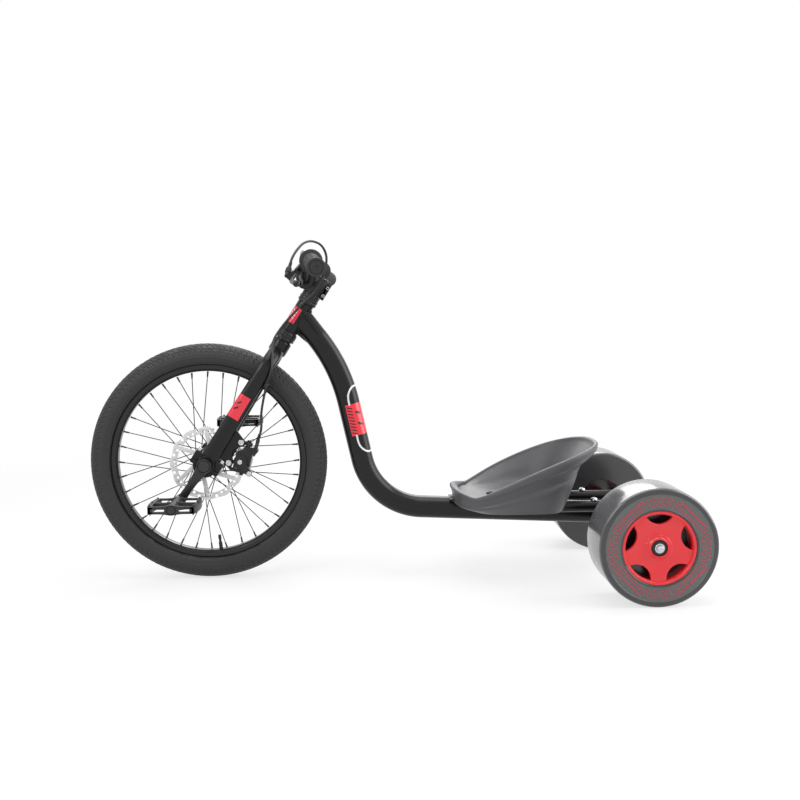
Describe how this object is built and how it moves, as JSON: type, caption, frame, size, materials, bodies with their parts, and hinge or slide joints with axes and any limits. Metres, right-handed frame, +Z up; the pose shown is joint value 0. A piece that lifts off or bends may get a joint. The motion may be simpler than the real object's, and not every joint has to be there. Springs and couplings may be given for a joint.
{
  "type": "drift trike",
  "caption": "Pedal drift trike: driven spoked front wheel with cranks in its hub, disc brake, low bucket seat, two hard rear sleeves on an axle.",
  "frame": {"origin": "on the floor, midway along the length of the trike and in its middle plane", "axes": "+X runs to the rear wheels, +Y to the side of the trike away from the brake disc, +Z up; the rider looks along -X"},
  "size_m": [1.2754, 0.7468, 0.7212],
  "materials": {
    "black_paint": "gloss black paint",
    "black_alloy": "black anodised, satin",
    "silver_steel": "satin steel",
    "black_steel": "black finish, semi-gloss",
    "tyre": "matte tread, smoother side walls",
    "rubber": "matte",
    "black_plastic": "fine satin",
    "grey_plastic": "satin moulded",
    "sleeve_plastic": "smooth gloss",
    "red_plastic": "semi-gloss"
  },
  "bodies": {
    "frame": {"main_frame": "black_paint", "headset_cup_lower": "black_paint", "headset_cup_upper": "black_paint", "headset_bearing_lower": "silver_steel", "headset_bearing_upper": "silver_steel", "seat_shell": "grey_plastic", "seat_front_mount": "black_alloy", "seat_bolt_front": "silver_steel", "seat_bolt_rear_left": "silver_steel", "seat_bolt_rear_right": "silver_steel", "rear_axle": "silver_steel", "axle_nut_left": "silver_steel", "axle_nut_right": "silver_steel", "rail_bolt_left": "silver_steel", "rail_bolt_right": "silver_steel"},
    "rear_wheel_left": {"rear_sleeve_left": "sleeve_plastic", "rear_core_left": "red_plastic", "rear_bearing_left": "silver_steel"},
    "rear_wheel_right": {"rear_sleeve_right": "sleeve_plastic", "rear_core_right": "red_plastic", "rear_bearing_right": "silver_steel"},
    "steering": {"fork": "black_paint", "bearing_cap_left": "black_paint", "bearing_cap_right": "black_paint", "hub_bearing_left": "silver_steel", "hub_bearing_right": "silver_steel", "headset_cover": "black_paint", "stem": "black_paint", "stem_faceplate": "black_paint", "headset_top_cap": "black_paint", "handlebar": "black_paint", "grip_left": "rubber", "grip_right": "rubber", "lever_bracket": "black_alloy", "lever_pin": "silver_steel", "brake_cable": "black_plastic", "cable_clip": "black_plastic", "cable_boot": "rubber", "caliper_adapter": "black_alloy", "adapter_bolt_lower": "silver_steel", "adapter_bolt_upper": "silver_steel", "caliper_body": "black_alloy", "brake_pad_outer": "black_steel", "brake_pad_inner": "black_steel"},
    "front_wheel": {"front_tyre": "tyre", "front_rim": "black_alloy", "valve_stem": "silver_steel", "spokes_left": "black_alloy", "spokes_right": "black_alloy", "hub_shell": "black_alloy", "brake_rotor": "silver_steel"},
    "crankset": {"crank_spindle": "silver_steel", "crank_left": "black_alloy", "crank_right": "black_alloy"},
    "pedal_left": {"pedal_left": "black_plastic"},
    "pedal_right": {"pedal_right": "black_plastic"},
    "brake_lever": {"brake_lever": "black_alloy"},
    "caliper_arm": {"caliper_arm": "black_alloy", "inner_wire": "silver_steel"}
  },
  "joints": [
    {"name": "steering", "type": "hinge", "parent": "frame", "child": "steering", "pos_m": [-0.38265, 0, 0.255], "axis": [0.5344, 0, 0.8453], "range_deg": [-60, 60]},
    {"name": "rear_wheel_left", "type": "hinge", "parent": "frame", "child": "rear_wheel_left", "pos_m": [0.52035, -0.2404, 0.1173], "axis": [0, 1, 0], "continuous": true},
    {"name": "rear_wheel_right", "type": "hinge", "parent": "frame", "child": "rear_wheel_right", "pos_m": [0.52035, 0.2404, 0.1173], "axis": [0, 1, 0], "continuous": true},
    {"name": "front_wheel", "type": "hinge", "parent": "steering", "child": "front_wheel", "pos_m": [-0.38265, 0, 0.255], "axis": [0, 1, 0], "continuous": true},
    {"name": "crankset", "type": "hinge", "parent": "steering", "child": "crankset", "pos_m": [-0.38265, 0, 0.255], "axis": [0, 1, 0], "continuous": true},
    {"name": "pedal_left", "type": "hinge", "parent": "crankset", "child": "pedal_left", "pos_m": [-0.43375, -0.14, 0.18336], "axis": [0, 1, 0], "continuous": true},
    {"name": "pedal_right", "type": "hinge", "parent": "crankset", "child": "pedal_right", "pos_m": [-0.33155, 0.14, 0.32664], "axis": [0, 1, 0], "continuous": true},
    {"name": "brake_lever", "type": "hinge", "parent": "steering", "child": "brake_lever", "pos_m": [-0.1729, -0.22065, 0.65301], "axis": [-0.6862, -0.1866, 0.7031], "range_deg": [0, 11], "stiffness_Nm_per_rad": 0.5, "springref_deg": -11.46},
    {"name": "caliper_arm", "type": "hinge", "parent": "steering", "child": "caliper_arm", "pos_m": [-0.30977, -0.0649, 0.26062], "axis": [0, -1, 0], "range_deg": [0, 22]}
  ],
  "couplings": [
    {"joint": "caliper_arm", "follows": "brake_lever", "ratio": 2}
  ]
}
